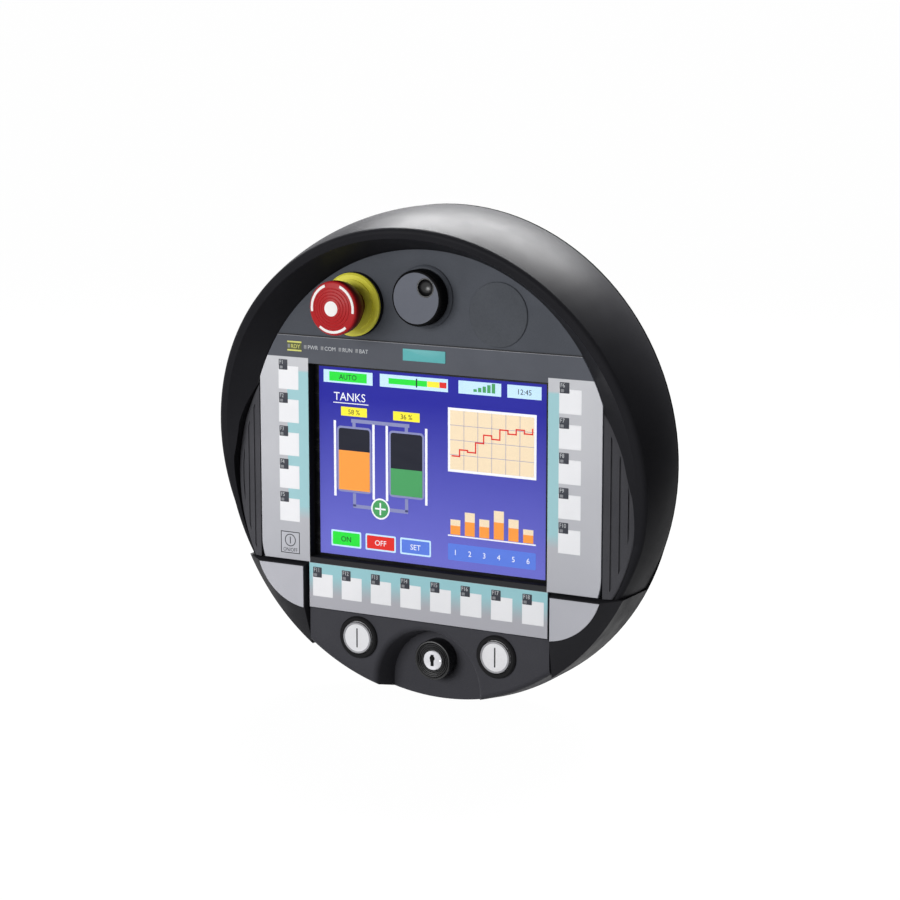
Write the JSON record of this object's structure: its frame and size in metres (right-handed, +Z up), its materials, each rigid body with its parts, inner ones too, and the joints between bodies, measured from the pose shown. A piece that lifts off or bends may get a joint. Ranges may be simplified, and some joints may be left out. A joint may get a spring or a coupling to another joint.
{
  "type": "operator panel",
  "caption": "Round hand-held operator panel with a recessed touch screen, membrane keys, emergency stop, handwheel, lit pushbuttons and a key switch inside a raised impact ring.",
  "frame": {"origin": "centre of the flat rear face, on the axis of the drum", "axes": "+Y out of the rear face, so the front looks towards -Y; +Z up; +X to the right seen from the front"},
  "size_m": [0.2906, 0.1044, 0.2957],
  "materials": {
    "ring_plastic": "fine-grained moulded plastic",
    "rear_plastic": "fine-grained moulded plastic",
    "plate_plastic": "fine-grained moulded plastic",
    "cover_plastic": "fine-grained moulded plastic",
    "grip_rubber": "soft ribbed grip",
    "inlay_film": "printed film",
    "membrane_film": "printed polyester film",
    "key_window": "clear window over a paper strip",
    "touch_glass": "coated touch glass",
    "lcd_metal": "sheet metal case",
    "seal_rubber": "moulded seal",
    "estop_yellow": "moulded plastic",
    "estop_red": "moulded plastic",
    "device_black": "moulded plastic",
    "cup_gloss": "polished plastic",
    "lens_white": "translucent lens",
    "steel": "plated steel",
    "contact_plastic": "moulded plastic",
    "board_laminate": "solder mask",
    "battery_case": "moulded plastic"
  },
  "bodies": {
    "housing": {"battery_cover": "rear_plastic", "battery_pack": "battery_case", "blank_plug": "plate_plastic", "board_screws": "steel", "chin_housing": "plate_plastic", "corner_cover_left": "cover_plastic", "corner_cover_right": "cover_plastic", "corner_inlays": "inlay_film", "device_nuts": "steel", "display_gasket": "seal_rubber", "enabling_switches": "contact_plastic", "estop_collar": "estop_yellow", "estop_contact_block": "contact_plastic", "front_plate": "plate_plastic", "front_ring": "ring_plastic", "grip_pad_left": "grip_rubber", "grip_pad_right": "grip_rubber", "handwheel_bezel": "device_black", "handwheel_encoder": "contact_plastic", "housing_seal": "seal_rubber", "key_switch_collar": "device_black", "key_switch_module": "contact_plastic", "lcd_module": "lcd_metal", "main_board": "board_laminate", "membrane_overlay": "membrane_film", "pushbutton_bezel_left": "device_black", "pushbutton_bezel_right": "device_black", "pushbutton_switches": "contact_plastic", "rear_screws": "steel", "rear_shell": "rear_plastic", "touch_panel": "touch_glass"},
    "estop_plunger_body": {"estop_plunger": "device_black"},
    "estop_cap_body": {"estop_cap": "estop_red"},
    "handwheel": {"handwheel_knob": "device_black", "handwheel_finger_cup": "cup_gloss", "handwheel_shaft": "steel"},
    "pushbutton_left": {"pushbutton_lens_left": "lens_white"},
    "pushbutton_right": {"pushbutton_lens_right": "lens_white"},
    "lock": {"key_switch_barrel": "steel"},
    "enabling_left": {"enabling_button_left": "device_black"},
    "enabling_right": {"enabling_button_right": "device_black"},
    "key_bottom_1_body": {"key_bottom_1": "key_window"},
    "key_bottom_2_body": {"key_bottom_2": "key_window"},
    "key_bottom_3_body": {"key_bottom_3": "key_window"},
    "key_bottom_4_body": {"key_bottom_4": "key_window"},
    "key_bottom_5_body": {"key_bottom_5": "key_window"},
    "key_bottom_6_body": {"key_bottom_6": "key_window"},
    "key_bottom_7_body": {"key_bottom_7": "key_window"},
    "key_bottom_8_body": {"key_bottom_8": "key_window"},
    "key_left_1_body": {"key_left_1": "key_window"},
    "key_left_2_body": {"key_left_2": "key_window"},
    "key_left_3_body": {"key_left_3": "key_window"},
    "key_left_4_body": {"key_left_4": "key_window"},
    "key_left_5_body": {"key_left_5": "key_window"},
    "key_power_body": {"key_power": "key_window"},
    "key_right_1_body": {"key_right_1": "key_window"},
    "key_right_2_body": {"key_right_2": "key_window"},
    "key_right_3_body": {"key_right_3": "key_window"},
    "key_right_4_body": {"key_right_4": "key_window"},
    "key_right_5_body": {"key_right_5": "key_window"}
  },
  "joints": [
    {"name": "estop_press", "type": "slide", "parent": "housing", "child": "estop_plunger_body", "axis": [0, 1, 0], "range_m": [0, 0.005]},
    {"name": "estop_twist", "type": "hinge", "parent": "estop_plunger_body", "child": "estop_cap_body", "pos_m": [-0.047, -0.09, 0.087], "axis": [0, 1, 0], "range_deg": [0, 45], "stiffness_Nm_per_rad": 0.05},
    {"name": "handwheel_turn", "type": "hinge", "parent": "housing", "child": "handwheel", "pos_m": [0, -0.08, 0.094], "axis": [0, 1, 0], "continuous": true},
    {"name": "pushbutton_left_press", "type": "slide", "parent": "housing", "child": "pushbutton_left", "axis": [0, 1, 0], "range_m": [0, 0.0025], "stiffness_N_per_m": 800},
    {"name": "pushbutton_right_press", "type": "slide", "parent": "housing", "child": "pushbutton_right", "axis": [0, 1, 0], "range_m": [0, 0.0025], "stiffness_N_per_m": 800},
    {"name": "key_switch_turn", "type": "hinge", "parent": "housing", "child": "lock", "pos_m": [0, -0.06, -0.1252], "axis": [0, 1, 0], "range_deg": [-45, 45]},
    {"name": "enabling_left_press", "type": "slide", "parent": "housing", "child": "enabling_left", "axis": [0, -1, 0], "range_m": [0, 0.005], "stiffness_N_per_m": 600},
    {"name": "enabling_right_press", "type": "slide", "parent": "housing", "child": "enabling_right", "axis": [0, -1, 0], "range_m": [0, 0.005], "stiffness_N_per_m": 600},
    {"name": "key_bottom_1_press", "type": "slide", "parent": "housing", "child": "key_bottom_1_body", "axis": [0, 1, 0], "range_m": [0, 0.0004], "stiffness_N_per_m": 1500},
    {"name": "key_bottom_2_press", "type": "slide", "parent": "housing", "child": "key_bottom_2_body", "axis": [0, 1, 0], "range_m": [0, 0.0004], "stiffness_N_per_m": 1500},
    {"name": "key_bottom_3_press", "type": "slide", "parent": "housing", "child": "key_bottom_3_body", "axis": [0, 1, 0], "range_m": [0, 0.0004], "stiffness_N_per_m": 1500},
    {"name": "key_bottom_4_press", "type": "slide", "parent": "housing", "child": "key_bottom_4_body", "axis": [0, 1, 0], "range_m": [0, 0.0004], "stiffness_N_per_m": 1500},
    {"name": "key_bottom_5_press", "type": "slide", "parent": "housing", "child": "key_bottom_5_body", "axis": [0, 1, 0], "range_m": [0, 0.0004], "stiffness_N_per_m": 1500},
    {"name": "key_bottom_6_press", "type": "slide", "parent": "housing", "child": "key_bottom_6_body", "axis": [0, 1, 0], "range_m": [0, 0.0004], "stiffness_N_per_m": 1500},
    {"name": "key_bottom_7_press", "type": "slide", "parent": "housing", "child": "key_bottom_7_body", "axis": [0, 1, 0], "range_m": [0, 0.0004], "stiffness_N_per_m": 1500},
    {"name": "key_bottom_8_press", "type": "slide", "parent": "housing", "child": "key_bottom_8_body", "axis": [0, 1, 0], "range_m": [0, 0.0004], "stiffness_N_per_m": 1500},
    {"name": "key_left_1_press", "type": "slide", "parent": "housing", "child": "key_left_1_body", "axis": [0, 1, 0], "range_m": [0, 0.0004], "stiffness_N_per_m": 1500},
    {"name": "key_left_2_press", "type": "slide", "parent": "housing", "child": "key_left_2_body", "axis": [0, 1, 0], "range_m": [0, 0.0004], "stiffness_N_per_m": 1500},
    {"name": "key_left_3_press", "type": "slide", "parent": "housing", "child": "key_left_3_body", "axis": [0, 1, 0], "range_m": [0, 0.0004], "stiffness_N_per_m": 1500},
    {"name": "key_left_4_press", "type": "slide", "parent": "housing", "child": "key_left_4_body", "axis": [0, 1, 0], "range_m": [0, 0.0004], "stiffness_N_per_m": 1500},
    {"name": "key_left_5_press", "type": "slide", "parent": "housing", "child": "key_left_5_body", "axis": [0, 1, 0], "range_m": [0, 0.0004], "stiffness_N_per_m": 1500},
    {"name": "key_power_press", "type": "slide", "parent": "housing", "child": "key_power_body", "axis": [0, 1, 0], "range_m": [0, 0.0004], "stiffness_N_per_m": 1500},
    {"name": "key_right_1_press", "type": "slide", "parent": "housing", "child": "key_right_1_body", "axis": [0, 1, 0], "range_m": [0, 0.0004], "stiffness_N_per_m": 1500},
    {"name": "key_right_2_press", "type": "slide", "parent": "housing", "child": "key_right_2_body", "axis": [0, 1, 0], "range_m": [0, 0.0004], "stiffness_N_per_m": 1500},
    {"name": "key_right_3_press", "type": "slide", "parent": "housing", "child": "key_right_3_body", "axis": [0, 1, 0], "range_m": [0, 0.0004], "stiffness_N_per_m": 1500},
    {"name": "key_right_4_press", "type": "slide", "parent": "housing", "child": "key_right_4_body", "axis": [0, 1, 0], "range_m": [0, 0.0004], "stiffness_N_per_m": 1500},
    {"name": "key_right_5_press", "type": "slide", "parent": "housing", "child": "key_right_5_body", "axis": [0, 1, 0], "range_m": [0, 0.0004], "stiffness_N_per_m": 1500}
  ]
}
